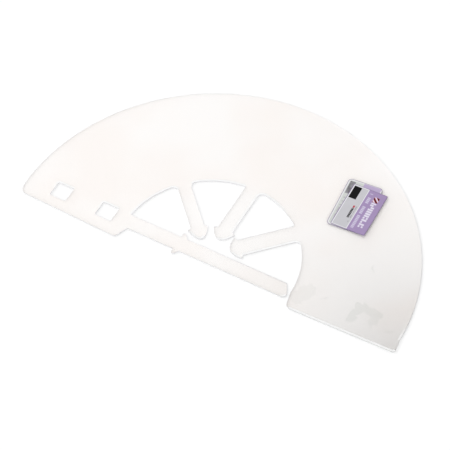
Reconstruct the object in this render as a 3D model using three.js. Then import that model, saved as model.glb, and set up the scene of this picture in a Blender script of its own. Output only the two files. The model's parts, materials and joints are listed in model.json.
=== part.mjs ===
// Flat blank of a clear plastic recovery collar for pets, with its printed label.
// A half-ring sheet has three barbed neck tabs and a long closing strap that fold at the neck edge.
// It is laid out around the fan centre: +X to the plain end, +Y through the middle of the ring.
// A flap has coordinates of its own: u from the fan centre out along the flap, v to its right.
// Millimetres and degrees, +Z up.

import * as THREE from 'three';

// The half ring
const NECK_RADIUS = 119;
const RING_WIDTH = 150;
const OUTER_RADIUS = NECK_RADIUS + RING_WIDTH;
const SHEET_THICKNESS = 1.5;

// Laps: each end of the half ring runs on below its diameter, less at the rim than at the neck.
// The shifts move an end's corner outward from the rim's radius, or from the neck's.
const STRAP_LAP = { rim: 24.5, neck: 29, rimCorner: 9, neckCorner: 5, rimShift: -2 };
const PLAIN_LAP = { rim: 18.5, neck: 22, rimCorner: 3.5, neckCorner: 8, rimShift: 2.5, neckShift: 4.5 };

// Fillets where a flap's side meets the neck edge: one side of each window is round, one is tight.
const ROUND_ROOT = 7;
const TIGHT_ROOT = 1;

// Closing strap and its two ears
const STRAP_WIDTH = 21;
const STRAP_ROOT_STEP = 2.5;
const STRAP_TIP_CLEARANCE = 1.2;
const STRAP_TIP_SLANT = 11;
const STRAP_TIP_CORNER = 5;
const STRAP_HEEL_CORNER = 1.5;
const EAR_HEIGHT = 6.5;
const EAR_TOP = 4.5;
const EAR_SLOPE = 4.5;
const EAR_ROUNDING = 2.2;

// Slots that the strap is threaded through, once it is folded back over its own end of the ring
const SLOT_LENGTH = 23.5;
const SLOT_CLEARANCE = 0.5;
const SLOT_FROM_NECK = 18;
const SLOT_PITCH = 69;
const SLOT_CORNER = 1.5;
const EAR_PAST_SLOT = 14;

// Neck tabs, in order round the neck edge from the strap
const BARB_OVERHANG = 4.6;
const BARB_BACK = 2.7;
const BARB_ROUNDING = 1;
const LEFT_TAB_TO_EAR = 0.5;
const MIDDLE_TAB_TO_STRAP = 18.2;
const RIGHT_TAB_TO_MIDDLE = 1.4;
const LEFT_TAB = {
  name: 'neck_tab_left', angle: 135, width: 18, headLength: 18,
  leftRoot: ROUND_ROOT, rightRoot: ROUND_ROOT,
};
const MIDDLE_TAB = {
  name: 'neck_tab_middle', angle: 90, width: 21.5, headLength: 15,
  leftRoot: TIGHT_ROOT, rightRoot: ROUND_ROOT,
};
const RIGHT_TAB = {
  name: 'neck_tab_right', angle: 45, width: 25, headLength: 11,
  leftRoot: TIGHT_ROOT, rightRoot: ROUND_ROOT,
};
const TABS = [LEFT_TAB, MIDDLE_TAB, RIGHT_TAB];

// Folds: every flap is its own solid, parted from the panel along a straight crease.
const CREASE_MARGIN = 1;
const CREASE_GAP = 0.3;

// Label: a base card stuck to the sheet, and a cover card that lies askew on it
const LABEL_ANGLE = 50.6;
const LABEL_FROM_RIM = 67;
const BASE_CARD = { width: 47, height: 78.5, corner: 5, turn: 4.7, colour: 0xd5d4d8 };
const COVER_CARD = {
  width: 47.5, height: 70.5, corner: 1.5, turn: 1.4, shiftX: 7.8, shiftY: -3.2, colour: 0xa38cba,
};
const CARD_THICKNESS = 0.4;
const CARD_GAP = 0.3;

// Steps along round stretches, in degrees
const RING_STEP = 2.5;
const CORNER_STEP = 18;
const NOSE_SEGMENTS = 14;

// Worked-out sizes
const STRAP_HALF = STRAP_WIDTH / 2;
const WIDEST_HALF = Math.max(STRAP_WIDTH, ...TABS.map((tab) => tab.width)) / 2;
const CREASE_RADIUS = rootFilletCentre(WIDEST_HALF, ROUND_ROOT).along - CREASE_MARGIN;
const FLAP_END = CREASE_RADIUS - CREASE_GAP;
const SLOT_WIDTH = STRAP_WIDTH + SLOT_CLEARANCE;
const SLOT_STARTS = [NECK_RADIUS + SLOT_FROM_NECK, NECK_RADIUS + SLOT_FROM_NECK + SLOT_PITCH];

// The strap folded back at its crease has its ears past the slot next to the neck.
const FOLDED_EAR_RADIUS = SLOT_STARTS[0] + SLOT_LENGTH + EAR_PAST_SLOT;
const EAR_RADIUS = 2 * CREASE_RADIUS - FOLDED_EAR_RADIUS;

const RADIANS = Math.PI / 180;

// A point of a flap's own coordinates, in the sheet's plane.
function onFlap(angle, u, v) {
  const cos = Math.cos(angle * RADIANS);
  const sin = Math.sin(angle * RADIANS);
  return new THREE.Vector2(u * cos + v * sin, u * sin - v * cos);
}

// Points on an arc from one angle to another, with both ends.
function arcPoints(centre, radius, fromAngle, toAngle, step) {
  const count = Math.max(1, Math.ceil(Math.abs(toAngle - fromAngle) / step));
  const points = [];
  for (let i = 0; i <= count; i += 1) {
    const angle = (fromAngle + ((toAngle - fromAngle) * i) / count) * RADIANS;
    const x = centre.x + radius * Math.cos(angle);
    const y = centre.y + radius * Math.sin(angle);
    points.push(new THREE.Vector2(x, y));
  }
  return points;
}

function corner(x, y, radius) {
  const point = new THREE.Vector2(x, y);
  point.radius = radius;
  return point;
}

// The round that replaces a corner between two straight sides.
function roundedCorner(before, point, after) {
  const toBefore = before.clone().sub(point).normalize();
  const toAfter = after.clone().sub(point).normalize();
  const halfAngle = toBefore.angleTo(toAfter) / 2;
  const middle = toBefore.clone().add(toAfter).normalize();
  const centre = point.clone().addScaledVector(middle, point.radius / Math.sin(halfAngle));
  const reach = point.radius / Math.tan(halfAngle);
  const start = point.clone().addScaledVector(toBefore, reach).sub(centre);
  const end = point.clone().addScaledVector(toAfter, reach).sub(centre);
  const turn = Math.atan2(start.cross(end), start.dot(end)) / RADIANS;
  const from = start.angle() / RADIANS;
  return arcPoints(centre, point.radius, from, from + turn, CORNER_STEP);
}

// A closed outline whose corners with a radius are rounded.
function outline(points) {
  return points.flatMap((point, i) => {
    const before = points[(i + points.length - 1) % points.length];
    const after = points[(i + 1) % points.length];
    return point.radius ? roundedCorner(before, point, after) : [point];
  });
}

// Centre of the fillet that touches the neck edge from inside and a flap's side from outside.
function rootFilletCentre(halfWidth, radius) {
  const across = halfWidth + radius;
  return { across, along: Math.sqrt((NECK_RADIUS - radius) ** 2 - across ** 2) };
}

// Points of that fillet from the flap's side to the neck edge. Side is 1 at the flap's right, else -1.
function rootFillet(flap, side) {
  const radius = side > 0 ? flap.rightRoot : flap.leftRoot;
  const { across, along } = rootFilletCentre(flap.width / 2, radius);
  const lean = Math.atan2(across, along) / RADIANS;
  const centre = onFlap(flap.angle, along, side * across);
  return arcPoints(centre, radius, flap.angle + side * 90, flap.angle - side * lean, CORNER_STEP);
}

// Neck edge from the strap to the plain end, with the stubs of the tabs.
function neckEdge() {
  const strapRoot = { angle: 180, width: STRAP_WIDTH, rightRoot: TIGHT_ROOT };
  const points = [...rootFillet(strapRoot, 1)];
  for (const tab of TABS) {
    const arriving = rootFillet(tab, -1).reverse();
    points.push(...neckArc(points.at(-1), arriving[0]));
    points.push(...arriving);
    points.push(onFlap(tab.angle, CREASE_RADIUS, -tab.width / 2));
    points.push(onFlap(tab.angle, CREASE_RADIUS, tab.width / 2));
    points.push(...rootFillet(tab, 1));
  }
  points.push(...neckArc(points.at(-1), new THREE.Vector2(NECK_RADIUS, 0)));
  points.push(new THREE.Vector2(NECK_RADIUS, 0));
  return points;
}

// Points of the neck edge between two points on it, without its ends.
function neckArc(from, to) {
  const centre = new THREE.Vector2(0, 0);
  const points = arcPoints(centre, NECK_RADIUS, from.angle() / RADIANS, to.angle() / RADIANS, RING_STEP);
  return points.slice(1, -1);
}

function panelOutline() {
  const centre = new THREE.Vector2(0, 0);
  return outline([
    corner(NECK_RADIUS + PLAIN_LAP.neckShift, -PLAIN_LAP.neck, PLAIN_LAP.neckCorner),
    corner(OUTER_RADIUS + PLAIN_LAP.rimShift, -PLAIN_LAP.rim, PLAIN_LAP.rimCorner),
    ...arcPoints(centre, OUTER_RADIUS, 0, 180, RING_STEP),
    corner(-OUTER_RADIUS - STRAP_LAP.rimShift, -STRAP_LAP.rim, STRAP_LAP.rimCorner),
    corner(-NECK_RADIUS, -STRAP_LAP.neck, STRAP_LAP.neckCorner),
    corner(-CREASE_RADIUS - STRAP_ROOT_STEP, -STRAP_HALF, 0),
    corner(-CREASE_RADIUS, -STRAP_HALF, 0),
    corner(-CREASE_RADIUS, STRAP_HALF, 0),
    ...neckEdge(),
  ]);
}

function slotOutline(start) {
  return outline([
    corner(-start - SLOT_LENGTH, -SLOT_WIDTH / 2, SLOT_CORNER),
    corner(-start - SLOT_LENGTH, SLOT_WIDTH / 2, SLOT_CORNER),
    corner(-start, SLOT_WIDTH / 2, SLOT_CORNER),
    corner(-start, -SLOT_WIDTH / 2, SLOT_CORNER),
  ]);
}

// Half width of a tab's head at its barbs.
function headHalf(tab) {
  return tab.width / 2 + BARB_OVERHANG;
}

// Radius of each tab's nose. The left head clears the strap's ear, the middle head stands off the
// strap, and the right head clears the middle one.
function noseRadius(tab) {
  const half = headHalf(tab);
  if (tab === MIDDLE_TAB) {
    return STRAP_HALF + MIDDLE_TAB_TO_STRAP;
  }
  if (tab === LEFT_TAB) {
    const lowest = STRAP_HALF + EAR_HEIGHT + LEFT_TAB_TO_EAR;
    return lowest * Math.SQRT2 + half ** 2 / (4 * tab.headLength);
  }
  const besideMiddle = headHalf(MIDDLE_TAB) + RIGHT_TAB_TO_MIDDLE;
  return besideMiddle * Math.SQRT2 + half - tab.headLength;
}

// A strip from the crease to a mushroom head whose nose is a parabola between the two barbs.
function tabOutline(tab) {
  const half = tab.width / 2;
  const barbHalf = headHalf(tab);
  const nose = noseRadius(tab);
  const barbs = nose + tab.headLength;
  const points = [
    corner(FLAP_END, half, 0),
    corner(FLAP_END, -half, 0),
    corner(barbs + BARB_BACK, -half, 0),
    corner(barbs, -barbHalf, BARB_ROUNDING),
  ];
  for (let i = 1; i < NOSE_SEGMENTS; i += 1) {
    const share = (2 * i) / NOSE_SEGMENTS - 1;
    points.push(corner(nose + tab.headLength * share ** 2, barbHalf * share, 0));
  }
  points.push(corner(barbs, barbHalf, BARB_ROUNDING));
  points.push(corner(barbs + BARB_BACK, half, 0));
  return outline(points).map((point) => onFlap(tab.angle, point.x, point.y));
}

// One side of the strap, from crease to tip, with its ear: steep towards the root, sloping to the tip.
function strapEar(side) {
  const top = STRAP_HALF + EAR_HEIGHT;
  const endOfTop = EAR_RADIUS - EAR_TOP;
  return [
    corner(-EAR_RADIUS, side * STRAP_HALF, 0),
    corner(-EAR_RADIUS, side * top, EAR_ROUNDING),
    corner(-endOfTop, side * top, EAR_ROUNDING),
    corner(-endOfTop + EAR_SLOPE, side * STRAP_HALF, 0),
  ];
}

// The strap ends just short of the plain end's neck side.
function strapOutline() {
  const neckSideShift = (PLAIN_LAP.neckShift * STRAP_HALF) / PLAIN_LAP.neck;
  const tip = NECK_RADIUS + neckSideShift - STRAP_TIP_CLEARANCE;
  return outline([
    corner(-FLAP_END, STRAP_HALF, 0),
    corner(-FLAP_END, -STRAP_HALF, 0),
    ...strapEar(-1),
    corner(tip, -STRAP_HALF, STRAP_TIP_CORNER),
    corner(tip - STRAP_TIP_SLANT, STRAP_HALF, STRAP_HEEL_CORNER),
    ...strapEar(1).reverse(),
  ]);
}

// A card's outline about its own centre, turned and moved to its place on the sheet.
function cardOutline(card, centre) {
  const halfWidth = card.width / 2;
  const halfHeight = card.height / 2;
  const origin = new THREE.Vector2(0, 0);
  return outline([
    corner(halfWidth, -halfHeight, card.corner),
    corner(halfWidth, halfHeight, card.corner),
    corner(-halfWidth, halfHeight, card.corner),
    corner(-halfWidth, -halfHeight, card.corner),
  ]).map((point) => point.rotateAround(origin, card.turn * RADIANS).add(centre));
}

// A flat piece between two heights, with any holes.
function flatPiece(name, points, bottom, thickness, material, holes = []) {
  const shape = new THREE.Shape(points);
  shape.holes = holes.map((hole) => new THREE.Path(hole));
  const geometry = new THREE.ExtrudeGeometry(shape, { depth: thickness, bevelEnabled: false });
  geometry.translate(0, 0, bottom);
  const mesh = new THREE.Mesh(geometry, material);
  mesh.name = name;
  return mesh;
}

function clearPlastic() {
  return new THREE.MeshStandardMaterial({
    color: 0xf1eeea, roughness: 0.18, metalness: 0, transparent: true, opacity: 0.35,
  });
}

function card(colour) {
  return new THREE.MeshStandardMaterial({ color: colour, roughness: 0.55, metalness: 0 });
}

function makeLabel() {
  const base = new THREE.Vector2(OUTER_RADIUS - LABEL_FROM_RIM, 0)
    .rotateAround(new THREE.Vector2(0, 0), LABEL_ANGLE * RADIANS);
  const cover = base.clone().add(new THREE.Vector2(COVER_CARD.shiftX, COVER_CARD.shiftY));
  const baseOutline = cardOutline(BASE_CARD, base);
  const coverOutline = cardOutline(COVER_CARD, cover);
  const coverBottom = SHEET_THICKNESS + CARD_THICKNESS + CARD_GAP;
  return [
    flatPiece('label_base_card', baseOutline, SHEET_THICKNESS, CARD_THICKNESS, card(BASE_CARD.colour)),
    flatPiece('label_cover_card', coverOutline, coverBottom, CARD_THICKNESS, card(COVER_CARD.colour)),
  ];
}

function makeCollar() {
  const slots = SLOT_STARTS.map(slotOutline);
  const collar = new THREE.Group();
  collar.name = 'recovery_collar_blank';
  collar.add(flatPiece('collar_panel', panelOutline(), 0, SHEET_THICKNESS, clearPlastic(), slots));
  collar.add(flatPiece('closing_strap', strapOutline(), 0, SHEET_THICKNESS, clearPlastic()));
  for (const tab of TABS) {
    collar.add(flatPiece(tab.name, tabOutline(tab), 0, SHEET_THICKNESS, clearPlastic()));
  }
  collar.add(...makeLabel());
  return collar;
}

// The origin is the centre of the flat blank's rectangle, on the surface it lies on.
function centred(collar) {
  const centre = new THREE.Box3().setFromObject(collar).getCenter(new THREE.Vector3());
  collar.position.set(-centre.x, -centre.y, 0);
  return collar;
}

export default centred(makeCollar());
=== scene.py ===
"""Looks of the recovery collar blank: a clear die-cut sheet that bends at its folds, and a printed label.

Every flat piece is built from the outline of its CAD node. Lengths are millimetres until a mesh is
made, and heights are above the surface that the blank lies on.
"""

import json
import math

import bpy
import numpy as np
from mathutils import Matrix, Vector
from mathutils.geometry import delaunay_2d_cdt


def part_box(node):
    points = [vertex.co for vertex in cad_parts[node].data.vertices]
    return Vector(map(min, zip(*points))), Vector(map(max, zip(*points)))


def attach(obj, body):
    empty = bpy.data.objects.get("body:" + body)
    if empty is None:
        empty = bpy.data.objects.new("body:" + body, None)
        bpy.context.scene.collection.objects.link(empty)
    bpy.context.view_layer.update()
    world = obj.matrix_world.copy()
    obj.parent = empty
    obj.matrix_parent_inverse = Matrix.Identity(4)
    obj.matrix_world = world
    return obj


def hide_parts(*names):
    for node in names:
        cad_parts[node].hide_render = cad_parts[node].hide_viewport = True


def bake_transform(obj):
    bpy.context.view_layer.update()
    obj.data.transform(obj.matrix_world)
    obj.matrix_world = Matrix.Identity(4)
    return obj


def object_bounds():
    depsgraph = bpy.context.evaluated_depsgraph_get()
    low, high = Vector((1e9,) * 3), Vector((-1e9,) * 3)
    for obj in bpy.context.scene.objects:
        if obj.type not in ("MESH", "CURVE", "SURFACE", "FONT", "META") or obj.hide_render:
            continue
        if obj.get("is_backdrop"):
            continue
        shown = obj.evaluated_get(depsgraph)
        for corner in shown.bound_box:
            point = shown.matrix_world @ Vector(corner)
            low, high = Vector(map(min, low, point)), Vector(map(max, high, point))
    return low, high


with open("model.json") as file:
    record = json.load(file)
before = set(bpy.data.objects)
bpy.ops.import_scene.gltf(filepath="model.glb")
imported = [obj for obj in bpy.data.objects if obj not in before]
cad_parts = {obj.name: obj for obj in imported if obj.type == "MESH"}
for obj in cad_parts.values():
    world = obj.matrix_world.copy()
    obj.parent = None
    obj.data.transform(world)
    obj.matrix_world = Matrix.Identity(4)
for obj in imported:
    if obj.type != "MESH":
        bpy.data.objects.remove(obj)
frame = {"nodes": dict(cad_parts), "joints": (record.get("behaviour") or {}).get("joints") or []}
CAD_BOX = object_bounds()

MM = 0.001

# Sheet
SHEET_NODE = "collar_panel"
SHEET_ROUND = 0.3            # rounding of the die-cut edge
BEND_LENGTH = 5.0            # stretch of a flap that bends when it is folded
CREASE_REACH = 16.0          # a fold's line is no longer than this to either side of its middle
CREASE_SNAP = 0.2            # outline points this close to a fold's line are moved onto it
PANEL_SPACING = 1.5          # between points along the panel's outline
FLAP_SPACING = 0.5           # the same for a flap
PANEL_GRID = 5.0             # between points inside the panel
FLAP_GRID = 1.8              # the same for a flap
EDGE_DEPTHS = (0.7, 1.3, 2.0, 2.7, 3.5, 4.4)   # rows of points along the cut edges
CORNER_LIFT = 1.0            # the plain end's rim corner stands off the surface by this
CORNER_LIFT_REACH = 70.0     # and the sheet comes down again over this distance

# Cards
CARD_ROUND = 0.07
CARD_SPACING = 1.5
CARD_GRID = 2.5
CARD_DEPTHS = (0.6, 1.4)
COVER_BOW = 0.4              # the cover card's right side stands up by this
COVER_CURL = 1.0             # and its lower right corner by this more

# Meshes
WELD_DECIMALS = 2            # vertices at the same place to this many decimals are one
TOP_BAND = 0.01              # vertices this close to the highest one are in the upper face
ROUND_MIDDLE = 0.29          # 1 - cos 45: a rounding's middle, as a share of its radius
DENSE_ROWS = 2               # this many rows along the cut edges have every point, the rest half
ROW_CLEAR = 0.94             # a row keeps this share of its depth from every cut edge
GRID_RISE = 0.87             # sin 60: between the grid's rows, as a share of its spacing
GRID_CLEAR = 0.35            # the grid keeps this share of its spacing from the last row
BEND_MARGIN = (1.0, 0.5)     # the grid keeps these from a bend's far end and from its fold
FOLD_ROW = 0.4               # between rows of points across a bend
FOLD_PAST = 0.9              # such rows go on past the bend's far end by less than this
FOLD_COLUMN = 1.3            # between points of such a row
OUTLINE_CLEAR = 0.3          # inner points keep this from the outline
RIM_CLEAR = 0.15             # and this from the rim of the flat face
CHUNK = 4000                 # points whose distances are found at once
LEVEL_TURN = 1e-3            # the sine of a turn too small to be a corner
THINNEST = 1e-9              # triangles with less than this doubled area are left out
TINY = 1e-12                 # keeps a divisor from being nought
SHARP_ANGLE = math.radians(60)

# Camera, on the line of sight of a product view from in front and to the right
CAMERA_PLACE = (0.7176, -1.1740, 1.7802)
CAMERA_ANGLES = (36.530, 2.504, 29.766)
CAMERA_LENS = 139.36
CAMERA_SENSOR = 36.0

# Surroundings
FLOOR_HEIGHT = -0.0004
FLOOR_HALF = 4.0
FLOOR_POINTS = 5
SKY_AXIS = (-0.8681, -0.4965, 0.0)   # towards the bright side of the room
SKY_BRIGHT = 1.42
SKY_DIM = 0.76
SKY_BLEND = 0.2

# Cut edges that face the front have a painted highlight beside them, a whiter stretch ended by a faint
# painted line. The strap side, below these ranges of x and y, has none.
FRONT = (0.547, -0.837, 0.0)
HIGHLIGHT_FACING = (0.42, 0.62)    # cosine to the front, from no stretch to all of it
HIGHLIGHT_WIDTH = 3.1
HIGHLIGHT_LINE_END = 4.1                # where the faint line ends
HIGHLIGHT_SOFT = 0.6
BEFORE_EDGE = -1.0               # no point is this near, so the stretch starts at the cut itself
STRAP_END = (105.0, 115.0)
STRAP_TOP = (-122.0, -117.0)

# Painted shade: the plastic is darkened towards the plain end's rim corner, whose place is in the sheet's
# own frame.
SHADE_CORNER = (270.0, -139.0, 0.0)
SHADE_REACH = 290.0
SHADE_POWER = 1.8
SHADE_DEPTH = 0.29

# Grey blotches painted on the plastic for soft reflections: from, to, half width, all in millimetres, and
# strength.
REFLECTION_BLOTCHES = (
    ((201, -119), (203, -98), 7.0, 1.0),
    ((203, -98), (228, -99), 6.5, 1.0),
    ((228, -99), (227, -114), 5.5, 0.8),
    ((130, -120), (136, -108), 11.0, 0.5),
    ((190, -37), (195, -45), 2.6, 0.6),
    ((213, -34), (214, -35), 1.8, 0.8),
    ((248, -116), (255, -113), 2.6, 0.7),
    ((154, -110), (161, -107), 2.6, 0.5),
)
REFLECTION_DEPTH = 0.16
REFLECTION_WANDER = 7.0                # their outlines stray to either side by up to this
REFLECTION_SCALES = (0.11, 0.15)       # of the noise that they stray by, in x and in y
REFLECTION_SOFT = 1.4

# Surface relief
RIPPLE_HEIGHT = 0.15             # how far the sheet waves up and down
SCRATCH_SHARE = -0.05            # a scratch's depth, as a share of that height
CUT_HEIGHT = 0.02                # marks of the cut along an edge
FIBRE_HEIGHT = 0.03              # fibres in the cards


# ---------------------------------------------------------------- outlines

def mesh_arrays(node):
    """A CAD node's vertices in millimetres and its triangles, as arrays."""
    mesh = frame["nodes"][node].data
    mesh.calc_loop_triangles()
    points = np.zeros(len(mesh.vertices) * 3, np.float32)
    mesh.vertices.foreach_get("co", points)
    triangles = np.zeros(len(mesh.loop_triangles) * 3, np.int32)
    mesh.loop_triangles.foreach_get("vertices", triangles)
    return points.reshape(-1, 3).astype(float) / MM, triangles.reshape(-1, 3)


def top_edges(node):
    """Edges round a flat node's upper face, an (n, 2, 2) array. The material is to the left of each.

    An edge of a triangle of that face belongs to the outline if no triangle has it the other way.
    """
    points, triangles = mesh_arrays(node)
    top = points[:, 2].max()
    flat = triangles[(points[triangles][:, :, 2] > top - TOP_BAND).all(1)]
    _, first, label = np.unique(
        np.round(points[:, :2], WELD_DECIMALS), axis=0, return_index=True, return_inverse=True
    )
    corners = label.reshape(-1)[flat]
    start = corners.ravel()
    end = np.roll(corners, -1, axis=1).ravel()
    count = len(first)
    lonely = ~np.isin(start * count + end, end * count + start)
    place = points[first][:, :2]
    return np.stack([place[start[lonely]], place[end[lonely]]], axis=1)


def creases():
    """Every fold of the sheet: its body, a point of its line, and the direction from flap to panel."""
    found = []
    for joint in frame["joints"]:
        if joint["name"].endswith("_fold"):
            axis = np.array(joint["axis"], float)
            outward = np.cross(axis, (0, 0, 1))[:2]
            found.append((joint["child"], np.array(joint["pos_m"][:2]) / MM, outward))
    return found


def along_crease(points, crease):
    """How far points lie past a fold's line, on the panel's side, and how far along it."""
    _, place, outward = crease
    step = points - place
    return step @ outward, step @ np.array((-outward[1], outward[0]))


def snapped(edges, folds):
    """The edges with both ends at a fold moved onto its line, and whether each edge lies on one."""
    edges = edges.copy()
    on_fold = np.zeros(len(edges), bool)
    for crease in folds:
        past, beside = along_crease(edges, crease)
        near = (np.abs(past) < CREASE_SNAP) & (np.abs(beside) < CREASE_REACH)
        edges[near] -= past[near][:, None] * crease[2]
        on_fold |= near.all(1)
    return edges, on_fold


def split(edges, on_fold, spacing):
    """The outline with every edge cut into stretches of about the spacing.

    Returns the points, the number of the point after each, and whether the stretch to it is a fold.
    """
    counts = np.maximum(1, np.ceil(np.linalg.norm(edges[:, 1] - edges[:, 0], axis=1) / spacing))
    counts = counts.astype(int)
    firsts = np.concatenate([[0], np.cumsum(counts)[:-1]])
    owner = np.repeat(np.arange(len(edges)), counts)
    share = (np.arange(len(owner)) - firsts[owner]) / counts[owner]
    points = edges[owner, 0] + (edges[owner, 1] - edges[owner, 0]) * share[:, None]
    gaps = np.linalg.norm(edges[:, 1][:, None] - edges[:, 0][None], axis=2)
    following = gaps.argmin(1)
    after = np.arange(len(owner)) + 1
    last = firsts + counts - 1
    after[last] = firsts[following]
    return points, after, on_fold[owner]


def outline_offsets(points, after, on_fold):
    """Where a point goes for each millimetre that the cut edges are moved inward.

    A stretch that lies on a fold stays in its line, so its ends move along it. Each point's shift s
    meets s.n = -1 for a cut stretch beside it and s.n = 0 for a fold, n being the outward normal.
    """
    before = np.argsort(after)
    run = points[after] - points
    run /= np.linalg.norm(run, axis=1)[:, None]
    normal = np.stack([run[:, 1], -run[:, 0]], axis=1)
    other, fold_before = normal[before], on_fold[before]
    first = np.where(fold_before, 0.0, -1.0)
    second = np.where(on_fold, 0.0, -1.0)
    turn = other[:, 0] * normal[:, 1] - other[:, 1] * normal[:, 0]
    level = np.abs(turn) < LEVEL_TURN
    safe = np.where(level, 1.0, turn)
    x = (first * normal[:, 1] - second * other[:, 1]) / safe
    y = (second * other[:, 0] - first * normal[:, 0]) / safe
    sloped = np.stack([x, y], axis=1)
    straight = (other + normal) / 2 * ((first + second) / 2)[:, None]
    return np.where(level[:, None], straight, sloped)


def distances(points, edges):
    """Each point's distance to the nearest of the edges, and that edge's number."""
    start, run = edges[:, 0], edges[:, 1] - edges[:, 0]
    size = np.maximum((run ** 2).sum(1), TINY)
    nearest = np.empty(len(points))
    number = np.empty(len(points), int)
    for some in np.array_split(np.arange(len(points)), len(points) // CHUNK + 1):
        step = points[some][:, None] - start
        share = np.clip((step * run).sum(2) / size, 0, 1)
        gap = np.linalg.norm(step - share[..., None] * run, axis=2)
        number[some] = gap.argmin(1)
        nearest[some] = gap.min(1)
    return nearest, number


def inside(points, edges):
    """True for each point that a line to +X meets an odd number of the edges from."""
    crossings = np.zeros(len(points), int)
    for some in np.array_split(np.arange(len(points)), len(points) // CHUNK + 1):
        x, y = points[some][:, :1], points[some][:, 1:]
        (x0, y0), (x1, y1) = edges[:, 0].T, edges[:, 1].T
        spans = (y0 <= y) != (y1 <= y)
        rise = np.where(y1 == y0, 1.0, y1 - y0)
        crossings[some] = (spans & (x0 + (y - y0) * (x1 - x0) / rise > x)).sum(1)
    return crossings % 2 == 1


# ---------------------------------------------------------------- flat pieces

def edge_rows(points, shift, edges, cut, depths):
    """Rows of points that follow an outline's cut edges, one for each depth."""
    unit = shift / np.maximum(np.linalg.norm(shift, axis=1), TINY)[:, None]
    for number, depth in enumerate(depths):
        every = 1 if number < DENSE_ROWS else 2
        row = (points + unit * depth)[::every]
        gap, _ = distances(row, cut)
        yield row[(gap > ROW_CLEAR * depth) & inside(row, edges)]


def plain_grid(points, edges, grid, margin, folds):
    """A grid of equilateral triangles inside an outline, clear of the rows at its edges and folds."""
    low, high = points.min(0), points.max(0)
    up = np.arange(low[1], high[1], grid * GRID_RISE)
    x, y = np.meshgrid(np.arange(low[0], high[0], grid), up)
    x = x + (np.arange(len(up)) % 2)[:, None] * grid / 2
    mesh = np.stack([x.ravel(), y.ravel()], axis=1)
    mesh = mesh[inside(mesh, edges)]
    gap, _ = distances(mesh, edges)
    mesh = mesh[gap > margin + GRID_CLEAR * grid]
    far, near = BEND_MARGIN
    for crease in folds:
        past, beside = along_crease(mesh, crease)
        mesh = mesh[(past < -BEND_LENGTH - far) | (past > near) | (np.abs(beside) > CREASE_REACH)]
    return mesh


def inner_points(points, shift, edges, cut, grid, depths, folds):
    """Points inside an outline: rows along its cut edges, rows across its bends, and a plain grid."""
    kept = list(edge_rows(points, shift, edges, cut, depths))
    kept += [fold_rows(crease, edges, cut, depths[-1]) for crease in folds]
    kept.append(plain_grid(points, edges, grid, depths[-1], folds))
    found = np.concatenate(kept)
    gap, _ = distances(found, edges)
    return found[gap > OUTLINE_CLEAR]


def fold_rows(crease, edges, cut, depth):
    """Rows of points across a flap where it bends."""
    _, place, outward = crease
    side = np.array((-outward[1], outward[0]))
    rows = np.arange(FOLD_ROW, BEND_LENGTH + FOLD_PAST, FOLD_ROW)
    columns = np.arange(-CREASE_REACH, CREASE_REACH, FOLD_COLUMN)
    past, beside = np.meshgrid(rows, columns)
    points = place - past.reshape(-1, 1) * outward + beside.reshape(-1, 1) * side
    points = points[inside(points, edges)]
    gap, _ = distances(points, cut)
    return points[gap > depth + OUTLINE_CLEAR]


def triangulated(points, after, inner, edges):
    """Triangles, counter-clockwise from above, over the outline's points and the inner ones."""
    both = np.concatenate([points, inner])
    ring = list(zip(range(len(points)), after.tolist()))
    places = [Vector(point) for point in both.tolist()]
    made, _, faces, origins, _, _ = delaunay_2d_cdt(places, ring, [], 0, 1e-6)
    if len(made) != len(both):
        raise RuntimeError("an outline crosses itself")
    number = np.array([origin[0] for origin in origins])
    triangles = number[np.array(faces)]
    middle = both[triangles].mean(1)
    triangles = triangles[inside(middle, edges)]
    a, b, c = (both[triangles[:, i]] for i in range(3))
    area = np.cross(b - a, c - a)
    triangles[area < 0] = triangles[area < 0][:, ::-1]
    return triangles[np.abs(area) > THINNEST]


def rim_profile(bottom, top, radius):
    """Inset and height of every ring of the rim, from the lower face round to the upper one."""
    small = radius * ROUND_MIDDLE
    return (
        (radius, bottom), (small, bottom + small), (0.0, bottom + radius),
        (0.0, top - radius), (small, top - small), (radius, top),
    )


def wall(after, rings):
    """Quads from each ring of a rim to the next one."""
    count = len(after)
    here = np.arange(count)
    lowest = np.column_stack([here, after, after + count, here + count])
    return np.concatenate([lowest + ring * count for ring in range(rings - 1)])


def plate_arrays(edges, on_fold, heights, radius, spacing, grid, depths, folds=()):
    """A flat plate with a rounded rim.

    Its wall is the rim's profile carried along the outline: ring k at point j is P(j) + inset(k) S(j),
    at height z(k), where S(j) is the point's shift inward. Both faces use one triangulation.
    Returns points, triangles, wall quads and which quads lie on a fold.
    """
    outline, after, fold = split(edges, on_fold, spacing)
    shift = outline_offsets(outline, after, fold)
    profile = rim_profile(*heights, radius)
    rings = [
        np.column_stack([outline + shift * inset, np.full(len(outline), height)])
        for inset, height in profile
    ]
    flat_ring = rings[-1][:, :2]
    flat_edges = np.stack([flat_ring, flat_ring[after]], axis=1)
    inner = inner_points(outline, shift, edges, edges[~on_fold], grid, depths, folds)
    inner = inner[inside(inner, flat_edges)]
    gap, _ = distances(inner, flat_edges)
    inner = inner[gap > RIM_CLEAR]
    triangles = triangulated(flat_ring, after, inner, flat_edges)
    points = np.concatenate(rings + [
        np.column_stack([inner, np.full(len(inner), height)]) for height in heights
    ])
    count, levels = len(outline), len(profile)

    def face(ring, first_inner):
        return np.where(triangles < count, triangles + ring * count, triangles - count + first_inner)

    lower = face(0, levels * count)[:, ::-1]
    upper = face(levels - 1, levels * count + len(inner))
    faces = np.concatenate([lower, upper])
    return points, faces, wall(after, levels), np.tile(fold, levels - 1)


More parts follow.
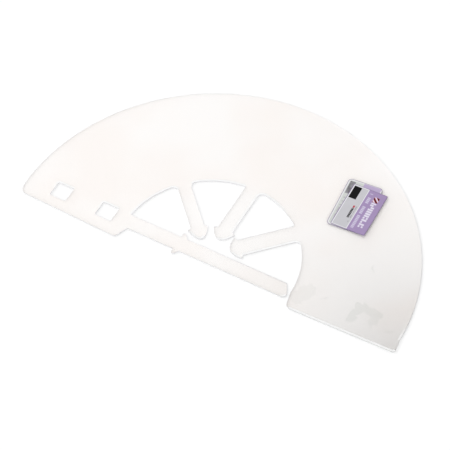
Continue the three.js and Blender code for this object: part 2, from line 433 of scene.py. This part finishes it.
def new_piece(name, points, triangles, quads):
    """A mesh object, given in millimetres, with smooth faces."""
    mesh = bpy.data.meshes.new(name)
    faces = triangles.tolist() + quads.tolist()
    mesh.from_pydata((points * MM).tolist(), [], faces)
    mesh.polygons.foreach_set("use_smooth", np.ones(len(faces), bool))
    mesh.update()
    mesh.set_sharp_from_angle(angle=SHARP_ANGLE)
    piece = bpy.data.objects.new(name, mesh)
    bpy.context.scene.collection.objects.link(piece)
    return piece


def add_values(piece, name, kind, domain, values):
    """Stores values on the mesh under a name that its material reads."""
    attribute = piece.data.attributes.new(name, kind, domain)
    field = "vector" if kind == "FLOAT_VECTOR" else "value"
    attribute.data.foreach_set(field, np.ascontiguousarray(values, np.float32).ravel())


# ---------------------------------------------------------------- sheet pieces

def corner_lift(points):
    """How high the sheet stands off the surface near the plain end's rim corner.

    z = CORNER_LIFT (1 - d / CORNER_LIFT_REACH)^2 for a point at the distance d from the corner.
    """
    low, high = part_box(SHEET_NODE)
    corner = np.array((high[0], low[1])) / MM
    gap = np.linalg.norm(points[:, :2] - corner, axis=1) / CORNER_LIFT_REACH
    return CORNER_LIFT * np.clip(1 - gap, 0, 1) ** 2


def add_sheet_values(piece, rest, cut, flat_count, seam):
    """What the sheet's materials read: place at rest, nearest cut edge, and walls on a fold."""
    gap, number = distances(rest[:, :2], cut)
    run = cut[:, 1] - cut[:, 0]
    facing = (run / np.linalg.norm(run, axis=1)[:, None])[number]
    outward = np.column_stack([facing[:, 1], -facing[:, 0], np.zeros(len(gap))])
    add_values(piece, "edge_mm", "FLOAT", "POINT", gap)
    add_values(piece, "edge_facing", "FLOAT_VECTOR", "POINT", outward)
    add_values(piece, "rest_mm", "FLOAT_VECTOR", "POINT", rest)
    add_values(piece, "seam", "FLOAT", "FACE", np.concatenate([np.zeros(flat_count), seam]))


def sheet_piece(name, node, body, spacing, grid, plastic, cut_edge):
    """One piece of the clear sheet. A flap has close rows of points across the stretch where it would
    bend at its fold.
    """
    folds = creases()
    mine = [crease for crease in folds if crease[0] == body]
    edges, on_fold = snapped(top_edges(node), folds)
    bottom, top = (corner[2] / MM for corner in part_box(node))
    points, triangles, quads, seam = plate_arrays(
        edges, on_fold, (bottom, top), SHEET_ROUND, spacing, grid, EDGE_DEPTHS, mine
    )
    rest = points.copy()
    if not mine:
        points[:, 2] += corner_lift(points)
    piece = new_piece(name, points, triangles, quads)
    add_sheet_values(piece, rest, edges[~on_fold], len(triangles), seam)
    piece.data.materials.append(plastic)
    piece.data.materials.append(cut_edge)
    on_rim = np.concatenate([np.zeros(len(triangles)), ~seam]).astype(np.int32)
    piece.data.polygons.foreach_set("material_index", on_rim)
    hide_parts(node)
    if mine:
        _, place, outward = mine[0]
        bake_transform(piece)
    else:
        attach(piece, body)


# ---------------------------------------------------------------- cards

def card_frame(edges):
    """A card's centre and its own x and y directions. Its longest sides run along y."""
    run = edges[:, 1] - edges[:, 0]
    longest = run[np.linalg.norm(run, axis=1).argmax()]
    up = longest / np.linalg.norm(longest) * np.sign(longest[1])
    right = np.array((up[1], -up[0]))
    own = edges.reshape(-1, 2) @ np.stack([right, up], axis=1)
    middle = (own.min(0) + own.max(0)) / 2
    return middle[0] * right + middle[1] * up, right, up, (own.max(0) - own.min(0)) / 2


def cover_curl(own, half):
    """How high the cover card stands up at a point: most at its lower right corner.

    z = COVER_BOW ((1 + x) / 2)^2 b^0.7 + COVER_CURL max(0, (x - y) / 2)^1.7 b, where x and y go from
    -1 to 1 across the card and b = (1 - y) / 2.
    """
    x, y = own[:, 0] / half[0], own[:, 1] / half[1]
    below = (1 - y) / 2
    bow = COVER_BOW * ((1 + x) / 2) ** 2 * below ** 0.7
    return bow + COVER_CURL * np.clip((x - y) / 2, 0, 1) ** 1.7 * below


def card_piece(name, node, body, curl=None):
    """A printed card, with its own coordinates in millimetres from its centre for the print."""
    edges = top_edges(node)
    bottom, top = (corner[2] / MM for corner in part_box(node))
    none = np.zeros(len(edges), bool)
    points, triangles, quads, _ = plate_arrays(
        edges, none, (bottom, top), CARD_ROUND, CARD_SPACING, CARD_GRID, CARD_DEPTHS
    )
    centre, right, up, half = card_frame(edges)
    step = points[:, :2] - centre
    own = np.column_stack([step @ right, step @ up, points[:, 2] - top])
    if curl:
        points[:, 2] += curl(own, half)
    piece = new_piece(name, points, triangles, quads)
    add_values(piece, "card_mm", "FLOAT_VECTOR", "POINT", own)
    add_values(piece, "edge_mm", "FLOAT", "POINT", distances(points[:, :2], edges)[0])
    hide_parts(node)
    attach(piece, body)
    return piece


# ---------------------------------------------------------------- node helpers

def add_node(tree, kind, *values, **settings):
    """A node with its settings made and its first inputs filled with numbers or linked outputs."""
    node = tree.nodes.new(kind)
    for name, value in settings.items():
        setattr(node, name, value)
    for socket, value in zip(node.inputs, values):
        fill(tree, socket, value)
    return node


def fill(tree, socket, value):
    if isinstance(value, bpy.types.NodeSocket):
        tree.links.new(value, socket)
    elif value is not None:
        socket.default_value = value


def maths(tree, operation, *values, clamp=False):
    return add_node(tree, "ShaderNodeMath", *values, operation=operation, use_clamp=clamp).outputs[0]


def weighted(tree, base, *terms):
    """A base value plus each term's value times its weight."""
    total = base
    for value, weight in terms:
        total = maths(tree, "ADD", total, maths(tree, "MULTIPLY", value, weight))
    return total


def smooth_range(tree, value, low, high, start=0.0, end=1.0):
    """The value's place between low and high as a smooth step from start to end."""
    node = add_node(
        tree, "ShaderNodeMapRange", value, low, high, start, end, interpolation_type="SMOOTHSTEP"
    )
    return node.outputs[0]


def mixed(tree, share, first, second):
    """One colour turned into another by a share."""
    node = add_node(tree, "ShaderNodeMix", data_type="RGBA")
    fill(tree, node.inputs[0], share)
    fill(tree, node.inputs[6], first)
    fill(tree, node.inputs[7], second)
    return node.outputs[2]


def noise(tree, point, scale, detail=2.0, roughness=0.5):
    node = add_node(tree, "ShaderNodeTexNoise")
    fill(tree, node.inputs["Vector"], point)
    fill(tree, node.inputs["Scale"], scale)
    fill(tree, node.inputs["Detail"], detail)
    fill(tree, node.inputs["Roughness"], roughness)
    return node.outputs[0]


def stretched(tree, point, size):
    node = add_node(tree, "ShaderNodeVectorMath", point, size, operation="MULTIPLY")
    return node.outputs[0]


def attribute(tree, name, output="Fac"):
    node = tree.nodes.new("ShaderNodeAttribute")
    node.attribute_name = name
    return node.outputs[output]


def new_group(name, inputs, outputs):
    """A shader node group with named sockets. Returns it with its input and output nodes."""
    group = bpy.data.node_groups.new(name, "ShaderNodeTree")
    for label, kind, value in inputs:
        socket = group.interface.new_socket(label, in_out="INPUT", socket_type=kind)
        if value is not None:
            socket.default_value = value
    for label, kind in outputs:
        group.interface.new_socket(label, in_out="OUTPUT", socket_type=kind)
    source = group.nodes.new("NodeGroupInput").outputs
    result = group.nodes.new("NodeGroupOutput").inputs
    return group, source, result


def use_group(tree, group, **values):
    """A group placed in a tree. Input names have an underscore for each space."""
    node = tree.nodes.new("ShaderNodeGroup")
    node.node_tree = group
    for name, value in values.items():
        fill(tree, node.inputs[name.replace("_", " ")], value)
    return node.outputs


NUMBER, VECTOR = "NodeSocketFloat", "NodeSocketVector"

SCRATCH_RUNS = (((0.02, 0.9, 1), 0.71), ((0.7, 0.05, 1), 0.73))   # squeeze of the noise, threshold
SCRATCH_SOFT = 0.06
DASH_RISE = (0.06, 0.16)         # where a dash starts and is whole, as shares of its cell


def band_group():
    """1 where a value lies between two others, with soft flanks."""
    group, source, result = new_group(
        "band",
        [("Value", NUMBER, 0), ("Low", NUMBER, 0), ("High", NUMBER, 1), ("Soft", NUMBER, 0.1)],
        [("Mask", NUMBER)],
    )
    over = maths(group, "SUBTRACT", source["Value"], source["Low"])
    under = maths(group, "SUBTRACT", source["High"], source["Value"])
    nearest = maths(group, "MINIMUM", over, under)
    share = maths(group, "DIVIDE", nearest, source["Soft"])
    centred = maths(group, "ADD", share, 0.5, clamp=True)
    group.links.new(centred, result["Mask"])
    return group


def scuff_group():
    """Fine handling scratches in two directions and soft smudges."""
    group, source, result = new_group(
        "handling_marks",
        [("Point", VECTOR, None), ("Amount", NUMBER, 1)],
        [("Scratches", NUMBER), ("Smudges", NUMBER)],
    )
    point, amount = source["Point"], source["Amount"]
    lines = []
    for size, low in SCRATCH_RUNS:
        field = noise(group, stretched(group, point, size), scale=1.0, detail=3.0, roughness=0.6)
        lines.append(smooth_range(group, field, low, low + SCRATCH_SOFT))
    both = maths(group, "MAXIMUM", *lines)
    patch = smooth_range(group, noise(group, point, scale=0.035), low=0.48, high=0.7)
    scratches = maths(group, "MULTIPLY", maths(group, "MULTIPLY", both, patch), amount)
    group.links.new(scratches, result["Scratches"])
    cloud = noise(group, point, scale=0.022, detail=4.0, roughness=0.62)
    smudge = smooth_range(group, cloud, low=0.5, high=0.78)
    group.links.new(maths(group, "MULTIPLY", smudge, amount), result["Smudges"])
    return group


def block_group(band):
    """A printed rectangle: 1 inside, with slightly uneven edges."""
    group, source, result = new_group(
        "printed_block",
        [("Point", VECTOR, None), ("Left", NUMBER, 0), ("Right", NUMBER, 1),
         ("Bottom", NUMBER, 0), ("Top", NUMBER, 1), ("Soft", NUMBER, 0.3)],
        [("Mask", NUMBER)],
    )
    parts = add_node(group, "ShaderNodeSeparateXYZ", source["Point"]).outputs
    wide = use_group(group, band, Value=parts[0], Low=source["Left"], High=source["Right"],
                     Soft=source["Soft"])[0]
    tall = use_group(group, band, Value=parts[1], Low=source["Bottom"], High=source["Top"],
                     Soft=source["Soft"])[0]
    group.links.new(maths(group, "MULTIPLY", wide, tall), result["Mask"])
    return group


def dashes_group(block):
    """A row of word-like marks inside a rectangle: its length is cut into cells, some left open."""
    group, source, result = new_group(
        "printed_dashes",
        [("Point", VECTOR, None), ("Left", NUMBER, 0), ("Right", NUMBER, 1),
         ("Bottom", NUMBER, 0), ("Top", NUMBER, 1), ("Pitch", NUMBER, 2), ("Open", NUMBER, 0.3)],
        [("Mask", NUMBER)],
    )
    parts = add_node(group, "ShaderNodeSeparateXYZ", source["Point"]).outputs
    along = maths(group, "DIVIDE", parts[1], source["Pitch"])
    cell = maths(group, "FLOOR", along)
    seed = add_node(group, "ShaderNodeCombineXYZ", cell, source["Left"], 0.0).outputs[0]
    chance = add_node(group, "ShaderNodeTexWhiteNoise", seed).outputs["Value"]
    there = maths(group, "GREATER_THAN", chance, source["Open"])
    within = maths(group, "FRACT", along)
    stroke = smooth_range(group, maths(group, "PINGPONG", within, 0.5), *DASH_RISE)
    area = use_group(group, block, Point=source["Point"], Left=source["Left"],
                     Right=source["Right"], Bottom=source["Bottom"], Top=source["Top"])[0]
    marks = maths(group, "MULTIPLY", maths(group, "MULTIPLY", there, stroke), area)
    group.links.new(marks, result["Mask"])
    return group


def stroke_group():
    """A stroke of painted reflection: 1 within a width of the line from one point to another, soft at its
    rim.
    """
    group, source, result = new_group(
        "painted_reflection_stroke",
        [("Point", VECTOR, None), ("Start", VECTOR, None), ("End", VECTOR, None),
         ("Width", NUMBER, 4)],
        [("Mask", NUMBER)],
    )

    def pair(operation, first, second, output=0):
        return add_node(group, "ShaderNodeVectorMath", first, second,
                        operation=operation).outputs[output]

    step = pair("SUBTRACT", source["Point"], source["Start"])
    line = pair("SUBTRACT", source["End"], source["Start"])
    share = maths(group, "DIVIDE", pair("DOT_PRODUCT", step, line, "Value"),
                  pair("DOT_PRODUCT", line, line, "Value"), clamp=True)
    nearest = add_node(group, "ShaderNodeVectorMath", line, operation="SCALE")
    fill(group, nearest.inputs["Scale"], share)
    gap = pair("DISTANCE", step, nearest.outputs[0], "Value")
    depth = maths(group, "SUBTRACT", source["Width"], gap)
    group.links.new(smooth_range(group, depth, 0.0, REFLECTION_SOFT), result["Mask"])
    return group


def fibre_group():
    """Paper: a faint tone from its fibres and the height of its surface."""
    group, source, result = new_group(
        "card_fibre", [("Point", VECTOR, None)], [("Tone", NUMBER), ("Height", NUMBER)]
    )
    fine = noise(group, source["Point"], scale=1.6, detail=4.0, roughness=0.65)
    broad = noise(group, source["Point"], scale=0.06)
    tone = weighted(group, 0.0, (fine, 0.6), (broad, 0.4))
    group.links.new(tone, result["Tone"])
    group.links.new(fine, result["Height"])
    return group


# ---------------------------------------------------------------- materials

WHITE = (1.0, 1.0, 1.0, 1)
BLACK = (0, 0, 0, 1)

# Clear plastic
HAZY_PLASTIC = (0.985, 0.94, 0.91, 1)
PALE_PLASTIC = (1.0, 0.98, 0.965, 1)
# Painted reflection: grey of the soft reflection blotches
REFLECTION_GREY = (0.45, 0.5, 0.45, 1)
# Painted: the faint line that ends the painted highlight beside front-facing cut edges
PAINTED_EDGE_LINE = (0.6, 0.6, 0.58, 1)
PAINTED_EDGE_LINE_DEPTH = 0.12
PLASTIC_IOR = 1.5
PASSED_LIGHT = (0.97, 0.97, 0.97, 1)

# Its cut edge in painted light and shade: one colour turned away from the front and one towards it, and a
# darker painted pair near the shaded corner.
EDGE_FACING = (0.1, 0.8)
EDGE_AWAY = (0.87, 0.87, 0.88, 1)
EDGE_TOWARDS = (0.7, 0.7, 0.71, 1)
CORNER_AWAY = (0.42, 0.42, 0.43, 1)
CORNER_TOWARDS = (0.56, 0.57, 0.56, 1)
CUT_STREAK = (0.95, 0.95, 0.95, 1)
CUT_STREAK_DEPTH = 0.25

# Inks and card
LAVENDER = (0.345, 0.26, 0.445, 1)
PANEL_LINE = (0.78, 0.78, 0.8, 1)
PALE_PANEL = (0.535, 0.53, 0.56, 1)
RULE = (0.2, 0.15, 0.27, 1)
INK = (0.003, 0.003, 0.004, 1)
PALE_MARK = (0.68, 0.64, 0.75, 1)
SCRIPT = (0.56, 0.51, 0.66, 1)
RED = (0.45, 0.06, 0.08, 1)
GREY_INK = (0.3, 0.3, 0.32, 1)
BASE_MARGIN = (0.72, 0.72, 0.73, 1)
BASE_GREEN = (0.58, 0.6, 0.58, 1)
BASE_LAVENDER = (0.46, 0.38, 0.56, 1)
DULL_DARK = (0.15, 0.145, 0.15, 1)
DULL_PALE = (0.3, 0.29, 0.32, 1)
FAINT_INK = (0.45, 0.44, 0.46, 1)
BARE_PAPER = (0.82, 0.8, 0.83, 1)
RULE_STRENGTH = 0.75
RUBBED_STRENGTH = 0.7
CARD_SPECULAR = 0.1

FLOOR_WHITE = (0.95, 0.95, 0.95, 1)
FLOOR_ROUGHNESS = 0.9

# Prints, in millimetres from a card's centre: left, right, bottom and top, then the ink. A row of
# dashes has its pitch and the share of open cells too.
COVER_PANELS = (
    ((-22.9, -1.5, -34.6, 34.6), PANEL_LINE),
    ((-21.9, -2.3, -33.6, 33.6), PALE_PANEL),
)
COVER_MARKS = (
    ((-21.5, -11.3, 12.4, 32.8), INK),
    ((-9.7, -6.7, -17.5, -1.2), INK, 2.3, 0.1),
    ((-9.4, -7.0, -0.6, 3.2), RED),
    ((-5.4, -4.2, -24.0, 3.2), GREY_INK, 1.3, 0.2),
    ((1.6, 5.6, -30.0, 30.0), SCRIPT, 2.6, 0.2),
    ((9.4, 11.8, -26.0, 17.5), PALE_MARK, 3.7, 0.12),
    ((11.6, 14.0, -26.0, 17.5), PALE_MARK, 3.7, 0.45),
    ((13.8, 16.2, -26.0, 17.5), PALE_MARK, 3.7, 0.12),
)
BADGE = (9.2, 16.4, 18.4, 27.0)
BADGE_STRIPE = 3.4               # half the period of its slanted stripes
BADGE_PALE = (2.0, 2.3)
BADGE_DARK = (0.9, 1.2)
BASE_BAND = (-2.0, 21.5, -37.0, 38.0)
BASE_BLOCK = (-20.4, -13.0, 14.8, 35.8)
BASE_WORDS = (-19.0, -16.6, -26.0, 9.0)


def new_material(name):
    """A material with a Principled shader, and its tree."""
    material = bpy.data.materials.new(name)
    material.use_nodes = True
    tree = material.node_tree
    shader = tree.nodes["Principled BSDF"]
    return material, tree, shader


def bumped(tree, shader, height, distance):
    """Relief on the surface, from a height between 0 and 1 and the distance that 1 stands for."""
    node = add_node(tree, "ShaderNodeBump")
    fill(tree, node.inputs["Strength"], 1.0)
    fill(tree, node.inputs["Distance"], distance)
    fill(tree, node.inputs["Height"], height)
    tree.links.new(node.outputs[0], shader.inputs["Normal"])


def facing_front(tree, low, high):
    """0 where the cosine from the nearest cut edge to the front is low, 1 where it is high."""
    facing = attribute(tree, "edge_facing", "Vector")
    towards = add_node(tree, "ShaderNodeVectorMath", facing, FRONT, operation="DOT_PRODUCT")
    return smooth_range(tree, towards.outputs["Value"], low, high)


def corner_nearness(tree, rest):
    """1 at the plain end's rim corner, falling to 0 at the reach of its painted shade."""
    apart = add_node(tree, "ShaderNodeVectorMath", rest, SHADE_CORNER, operation="DISTANCE")
    share = maths(tree, "DIVIDE", apart.outputs["Value"], SHADE_REACH)
    return maths(tree, "SUBTRACT", 1.0, share, clamp=True)


def strap_side(tree, rest):
    """1 on the strap's side of the sheet, with soft borders."""
    place = add_node(tree, "ShaderNodeSeparateXYZ", rest).outputs
    return maths(tree, "MULTIPLY", smooth_range(tree, place[0], *STRAP_END, 1.0, 0.0),
                 smooth_range(tree, place[1], *STRAP_TOP, 1.0, 0.0))


def painted_reflections(tree, stroke, rest):
    """The painted reflection blotches near the plain end as one mask, with uneven outlines."""
    wander = [maths(tree, "MULTIPLY_ADD", noise(tree, rest, scale), 2 * REFLECTION_WANDER, -REFLECTION_WANDER)
              for scale in REFLECTION_SCALES]
    step = add_node(tree, "ShaderNodeCombineXYZ", *wander).outputs[0]
    moved = add_node(tree, "ShaderNodeVectorMath", rest, step, operation="ADD").outputs[0]
    point = stretched(tree, moved, (1, 1, 0))
    patches = 0.0
    for start, end, width, share in REFLECTION_BLOTCHES:
        mask = use_group(tree, stroke, Point=point, Start=(*start, 0), End=(*end, 0), Width=width)[0]
        patches = maths(tree, "MAXIMUM", patches, maths(tree, "MULTIPLY", mask, share))
    return patches


def plastic_colour(tree, band, stroke, rest):
    """The plastic's tint: a warm haze, painted shade towards the rim corner, painted reflection blotches,
    and beside cut edges that face the front a painted highlight ended by a faint painted line.
    """
    haze = smooth_range(tree, noise(tree, rest, scale=0.007), low=0.35, high=0.65)
    colour = mixed(tree, haze, HAZY_PLASTIC, PALE_PLASTIC)
    # Painted shade, darker towards the plain end's rim corner
    shade = maths(tree, "POWER", corner_nearness(tree, rest), SHADE_POWER)
    colour = mixed(tree, maths(tree, "MULTIPLY", shade, SHADE_DEPTH), colour, BLACK)
    # Painted reflection: grey blotches near the plain end
    patches = painted_reflections(tree, stroke, rest)
    colour = mixed(tree, maths(tree, "MULTIPLY", patches, REFLECTION_DEPTH), colour, REFLECTION_GREY)
    # Painted highlight: a whiter stretch and a faint painted line beside cut edges that face the front
    gap = attribute(tree, "edge_mm")
    front = maths(tree, "MULTIPLY", facing_front(tree, *HIGHLIGHT_FACING),
                  maths(tree, "SUBTRACT", 1.0, strap_side(tree, rest)))
    line = use_group(tree, band, Value=gap, Low=HIGHLIGHT_WIDTH, High=HIGHLIGHT_LINE_END, Soft=HIGHLIGHT_SOFT)[0]
    faint = maths(tree, "MULTIPLY", maths(tree, "MULTIPLY", line, front), PAINTED_EDGE_LINE_DEPTH)
    colour = mixed(tree, faint, colour, PAINTED_EDGE_LINE)
    painted_highlight = use_group(tree, band, Value=gap, Low=BEFORE_EDGE, High=HIGHLIGHT_WIDTH,
                        Soft=HIGHLIGHT_SOFT)[0]
    return mixed(tree, maths(tree, "MULTIPLY", painted_highlight, front), colour, WHITE)


def sheet_material(band, marks, stroke):
    """Clear stiff plastic. Walls on a fold, where two pieces meet, don't show."""
    material, tree, shader = new_material("clear_plastic")
    rest = attribute(tree, "rest_mm", "Vector")
    handled = use_group(tree, marks, Point=rest, Amount=1.0)
    tree.links.new(plastic_colour(tree, band, stroke, rest), shader.inputs["Base Color"])
    rough = weighted(tree, 0.05, (handled["Scratches"], 0.25), (handled["Smudges"], 0.06))
    tree.links.new(rough, shader.inputs["Roughness"])
    ripple = noise(tree, rest, scale=0.02, detail=1.0)
    height = weighted(tree, ripple, (handled["Scratches"], SCRATCH_SHARE))
    bumped(tree, shader, height, RIPPLE_HEIGHT * MM)
    shader.inputs["Transmission Weight"].default_value = 1.0
    shader.inputs["IOR"].default_value = PLASTIC_IOR
    tree.links.new(maths(tree, "SUBTRACT", 1.0, attribute(tree, "seam")), shader.inputs["Alpha"])
    let_light_through(tree, shader)
    return material


def edge_material(marks):
    """The die-cut edge of the plastic: frosted, with fine marks of the cut along it, and painted light
    and shade from its facing and the shaded corner.
    """
    material, tree, shader = new_material("die_cut_edge")
    rest = attribute(tree, "rest_mm", "Vector")
    handled = use_group(tree, marks, Point=rest, Amount=1.0)
    # Painted light and shade: the edge's colour by how it faces the front, darker near the rim corner
    lit = facing_front(tree, *EDGE_FACING)
    plain = mixed(tree, lit, EDGE_AWAY, EDGE_TOWARDS)
    shaded = mixed(tree, lit, CORNER_AWAY, CORNER_TOWARDS)
    colour = mixed(tree, corner_nearness(tree, rest), plain, shaded)
    field = noise(tree, stretched(tree, rest, (1, 1, 4)), scale=0.6, detail=3.0)
    streaks = smooth_range(tree, field, low=0.35, high=0.7)
    colour = mixed(tree, maths(tree, "MULTIPLY", streaks, CUT_STREAK_DEPTH), colour, CUT_STREAK)
    tree.links.new(colour, shader.inputs["Base Color"])
    rough = weighted(tree, 0.35, (streaks, 0.2), (handled["Smudges"], 0.1))
    tree.links.new(rough, shader.inputs["Roughness"])
    bumped(tree, shader, streaks, CUT_HEIGHT * MM)
    return material


def let_light_through(tree, shader):
    """Light on its way to a matt surface or a lamp passes straight through, faintly dimmed."""
    path = tree.nodes.new("ShaderNodeLightPath").outputs
    straight = maths(tree, "MAXIMUM", path["Is Shadow Ray"], path["Is Diffuse Ray"])
    clear = add_node(tree, "ShaderNodeBsdfTransparent", PASSED_LIGHT).outputs[0]
    mix = add_node(tree, "ShaderNodeMixShader", straight, shader.outputs[0], clear)
    tree.links.new(mix.outputs[0], tree.nodes["Material Output"].inputs["Surface"])


def finish_card(tree, shader, colour, point, fibre, marks):
    """The paper's own tone, its rubbed edges and its surface, over a printed colour."""
    paper = use_group(tree, fibre, Point=point)
    handled = use_group(tree, marks, Point=point, Amount=0.6)
    shaded = add_node(tree, "ShaderNodeVectorMath", colour, operation="SCALE")
    fill(tree, shaded.inputs["Scale"], weighted(tree, 0.86, (paper["Tone"], 0.28)))
    edge = smooth_range(tree, attribute(tree, "edge_mm"), 0.1, 0.5, RUBBED_STRENGTH, 0.0)
    rubbed = smooth_range(tree, noise(tree, point, scale=0.5), low=0.55, high=0.75)
    worn = maths(tree, "MULTIPLY", edge, rubbed)
    colour = mixed(tree, worn, shaded.outputs[0], BARE_PAPER)
    tree.links.new(colour, shader.inputs["Base Color"])
    rough = weighted(tree, 0.42, (paper["Tone"], 0.2), (handled["Scratches"], 0.15))
    tree.links.new(rough, shader.inputs["Roughness"])
    bumped(tree, shader, paper["Height"], FIBRE_HEIGHT * MM)
    shader.inputs["Specular IOR Level"].default_value = CARD_SPECULAR


def printed_area(tree, block, point, sides):
    """The mask of a printed rectangle."""
    left, right, bottom, top = sides
    return use_group(tree, block, Point=point, Left=left, Right=right, Bottom=bottom, Top=top)[0]


def printed_row(tree, dashes, point, sides, pitch, open_share):
    """The mask of a row of dashes."""
    left, right, bottom, top = sides
    return use_group(tree, dashes, Point=point, Left=left, Right=right, Bottom=bottom, Top=top,
                     Pitch=pitch, Open=open_share)[0]


def printed(tree, colour, point, block, dashes, layers):
    """A colour with layers of print over it, one after another."""
    for sides, ink, *cells in layers:
        if cells:
            mask = printed_row(tree, dashes, point, sides, *cells)
        else:
            mask = printed_area(tree, block, point, sides)
        colour = mixed(tree, mask, colour, ink)
    return colour


def striped_badge(tree, colour, point, block):
    """A small red badge with slanted pale and dark stripes, printed over a colour."""
    slant = maths(tree, "ADD", *add_node(tree, "ShaderNodeSeparateXYZ", point).outputs[:2])
    stripes = maths(tree, "PINGPONG", slant, BADGE_STRIPE)
    badge = printed_area(tree, block, point, BADGE)
    colour = mixed(tree, badge, colour, RED)
    pale = smooth_range(tree, stripes, *BADGE_PALE)
    colour = mixed(tree, maths(tree, "MULTIPLY", badge, pale), colour, PALE_MARK)
    dark = smooth_range(tree, stripes, *BADGE_DARK, 1.0, 0.0)
    return mixed(tree, maths(tree, "MULTIPLY", badge, dark), colour, INK)


def cover_material(block, dashes, fibre, marks):
    """The cover card's print: a pale panel with a dark block, and a lavender band with pale marks."""
    material, tree, shader = new_material("printed_cover")
    point = attribute(tree, "card_mm", "Vector")
    lined = smooth_range(tree, attribute(tree, "edge_mm"), 0.5, 0.9, RULE_STRENGTH, 0.0)
    colour = printed(tree, LAVENDER, point, block, dashes, COVER_PANELS)
    colour = mixed(tree, lined, colour, RULE)
    colour = printed(tree, colour, point, block, dashes, COVER_MARKS)
    colour = striped_badge(tree, colour, point, block)
    finish_card(tree, shader, colour, point, fibre, marks)
    return material


def base_material(block, dashes, fibre, marks):
    """The base card's print: the same layout, paler, with a margin and a fine outline."""
    material, tree, shader = new_material("printed_base")
    point = attribute(tree, "card_mm", "Vector")
    lined = smooth_range(tree, attribute(tree, "edge_mm"), 0.5, 1.0, RULE_STRENGTH, 0.0)
    inner = smooth_range(tree, attribute(tree, "edge_mm"), 2.2, 2.6)
    cloudy = smooth_range(tree, noise(tree, point, scale=0.12), low=0.35, high=0.65)
    dull = mixed(tree, cloudy, DULL_DARK, DULL_PALE)
    colour = mixed(tree, inner, BASE_MARGIN, BASE_GREEN)
    layers = (BASE_BAND, BASE_LAVENDER), (BASE_BLOCK, dull)
    colour = printed(tree, colour, point, block, dashes, layers)
    colour = mixed(tree, lined, colour, RULE)
    colour = printed(tree, colour, point, block, dashes, ((BASE_WORDS, FAINT_INK, 2.2, 0.3),))
    finish_card(tree, shader, colour, point, fibre, marks)
    return material


def paint(piece, material):
    piece.data.materials.clear()
    piece.data.materials.append(material)


# ---------------------------------------------------------------- surroundings

def make_floor():
    """A plain pale floor just under the sheet."""
    side = np.linspace(-FLOOR_HALF, FLOOR_HALF, FLOOR_POINTS)
    x, y = np.meshgrid(side, side)
    points = np.column_stack([x.ravel(), y.ravel(), np.full(x.size, FLOOR_HEIGHT)])
    cells = np.arange(FLOOR_POINTS - 1)
    first = (cells[:, None] * FLOOR_POINTS + cells).ravel()
    quads = np.column_stack([first, first + 1, first + FLOOR_POINTS + 1, first + FLOOR_POINTS])
    floor = new_piece("floor", points / MM, np.empty((0, 3), int), quads)
    material, _, shader = new_material("pale_floor")
    shader.inputs["Base Color"].default_value = FLOOR_WHITE
    shader.inputs["Roughness"].default_value = FLOOR_ROUGHNESS
    shader.inputs["Specular IOR Level"].default_value = 0.0
    paint(floor, material)
    floor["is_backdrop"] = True


def make_sky():
    """Soft light from all round, brighter on one side of the room."""
    world = bpy.data.worlds.new("studio")
    world.use_nodes = True
    bpy.context.scene.world = world
    tree = world.node_tree
    direction = tree.nodes.new("ShaderNodeTexCoord").outputs["Generated"]
    side = add_node(tree, "ShaderNodeVectorMath", direction, SKY_AXIS, operation="DOT_PRODUCT")
    strength = smooth_range(tree, side.outputs["Value"], -SKY_BLEND, SKY_BLEND, SKY_DIM, SKY_BRIGHT)
    background = tree.nodes["Background"]
    background.inputs["Color"].default_value = (1, 1, 1, 1)
    tree.links.new(strength, background.inputs["Strength"])


def make_camera():
    data = bpy.data.cameras.new("camera")
    data.sensor_width = CAMERA_SENSOR
    data.lens = CAMERA_LENS
    camera = bpy.data.objects.new("camera", data)
    camera.location = CAMERA_PLACE
    camera.rotation_euler = [math.radians(angle) for angle in CAMERA_ANGLES]
    bpy.context.scene.collection.objects.link(camera)
    bpy.context.scene.camera = camera
    bpy.context.scene.view_settings.view_transform = "Standard"


def write_sizes(made):
    """The CAD box and the finished model's box, gathered in a table that is not kept."""
    boxes = {"cad": CAD_BOX, "visual": made}
    {name: [list(corner) for corner in box] for name, box in boxes.items()}


def main():
    make_camera()
    make_floor()
    make_sky()
    band = band_group()
    marks = scuff_group()
    block = block_group(band)
    dashes = dashes_group(block)
    fibre = fibre_group()
    looks = sheet_material(band, marks, stroke_group()), edge_material(marks)
    sheet_piece("half_ring_sheet", SHEET_NODE, "sheet", PANEL_SPACING, PANEL_GRID, *looks)
    for name, node, body in (
        ("strap_with_ears", "closing_strap", "strap"),
        ("barbed_tab_left", "neck_tab_left", "tab_left"),
        ("barbed_tab_middle", "neck_tab_middle", "tab_middle"),
        ("barbed_tab_right", "neck_tab_right", "tab_right"),
    ):
        sheet_piece(name, node, body, FLAP_SPACING, FLAP_GRID, *looks)
    base = card_piece("label_base", "label_base_card", "sheet")
    cover = card_piece("label_cover", "label_cover_card", "label_cover", cover_curl)
    paint(base, base_material(block, dashes, fibre, marks))
    paint(cover, cover_material(block, dashes, fibre, marks))
    write_sizes(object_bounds())


main()
